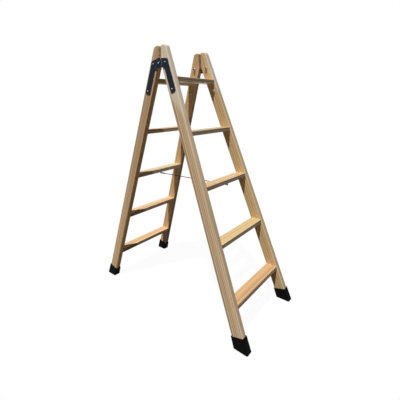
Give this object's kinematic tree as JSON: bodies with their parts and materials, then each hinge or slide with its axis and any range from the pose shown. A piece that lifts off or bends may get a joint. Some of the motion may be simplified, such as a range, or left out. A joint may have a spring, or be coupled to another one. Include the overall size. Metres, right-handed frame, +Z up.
{
  "type": "wooden stepladder",
  "caption": "Double-sided folding wooden stepladder: two splayed sections of flat treads, hinged at the top, on rubber feet, with a taut cord stay between the middle treads.",
  "frame": {"origin": "on the floor, under the middle of the hinge axis, with the ladder open", "axes": "+X across the ladder along the hinge axis, +Y towards the rear section, +Z up"},
  "size_m": [0.4976, 1.102, 1.4197],
  "materials": {
    "softwood": "planed, clear matt varnish",
    "black_rubber": "moulded, matt",
    "painted_steel": "dark satin paint",
    "dark_steel": "blackened, semi-gloss",
    "zinc_steel": "zinc plated",
    "stay_cord": "braided cord"
  },
  "bodies": {
    "front_section": {"front_stile_left": "softwood", "front_stile_right": "softwood", "front_tread_1": "softwood", "front_tread_2": "softwood", "front_tread_3": "softwood", "front_tread_4": "softwood", "front_tread_5": "softwood", "front_foot_left": "black_rubber", "front_foot_right": "black_rubber", "front_hinge_leaf_left": "painted_steel", "front_hinge_leaf_right": "painted_steel", "front_hinge_bolts": "dark_steel", "front_hinge_washers": "zinc_steel", "front_hinge_nuts": "zinc_steel", "stay_eye_front": "dark_steel", "hinge_rivet_left": "dark_steel", "hinge_rivet_right": "dark_steel"},
    "rear_section": {"rear_stile_left": "softwood", "rear_stile_right": "softwood", "rear_tread_1": "softwood", "rear_tread_2": "softwood", "rear_tread_3": "softwood", "rear_tread_4": "softwood", "rear_tread_5": "softwood", "rear_foot_left": "black_rubber", "rear_foot_right": "black_rubber", "rear_hinge_leaf_left": "painted_steel", "rear_hinge_leaf_right": "painted_steel", "rear_hinge_bolts": "dark_steel", "rear_hinge_washers": "zinc_steel", "rear_hinge_nuts": "zinc_steel", "stay_eye_rear": "dark_steel"},
    "stay_front": {"stay_cord_front": "stay_cord", "stay_ferrule_front": "dark_steel"},
    "stay_rear": {"stay_cord_rear": "stay_cord", "stay_ferrule_rear": "dark_steel"}
  },
  "joints": [
    {"name": "fold", "type": "hinge", "parent": "front_section", "child": "rear_section", "pos_m": [0, 0, 1.33124], "axis": [-1, 0, 0], "range_deg": [0, 39], "deforming": ["stay_cord_rear", "stay_ferrule_rear"]},
    {"name": "stay_swing", "type": "hinge", "parent": "front_section", "child": "stay_front", "pos_m": [0.028, -0.26463, 0.68538], "axis": [-1, 0, 0], "range_deg": [0, 103]},
    {"name": "stay_fold", "type": "hinge", "parent": "stay_front", "child": "stay_rear", "pos_m": [0.028, 0, 0.68538], "axis": [1, 0, 0], "range_deg": [0, 167]}
  ],
  "couplings": [
    {"joint": "stay_swing", "follows": "fold", "ratio": 2.612},
    {"joint": "stay_fold", "follows": "fold", "ratio": 4.2382}
  ]
}
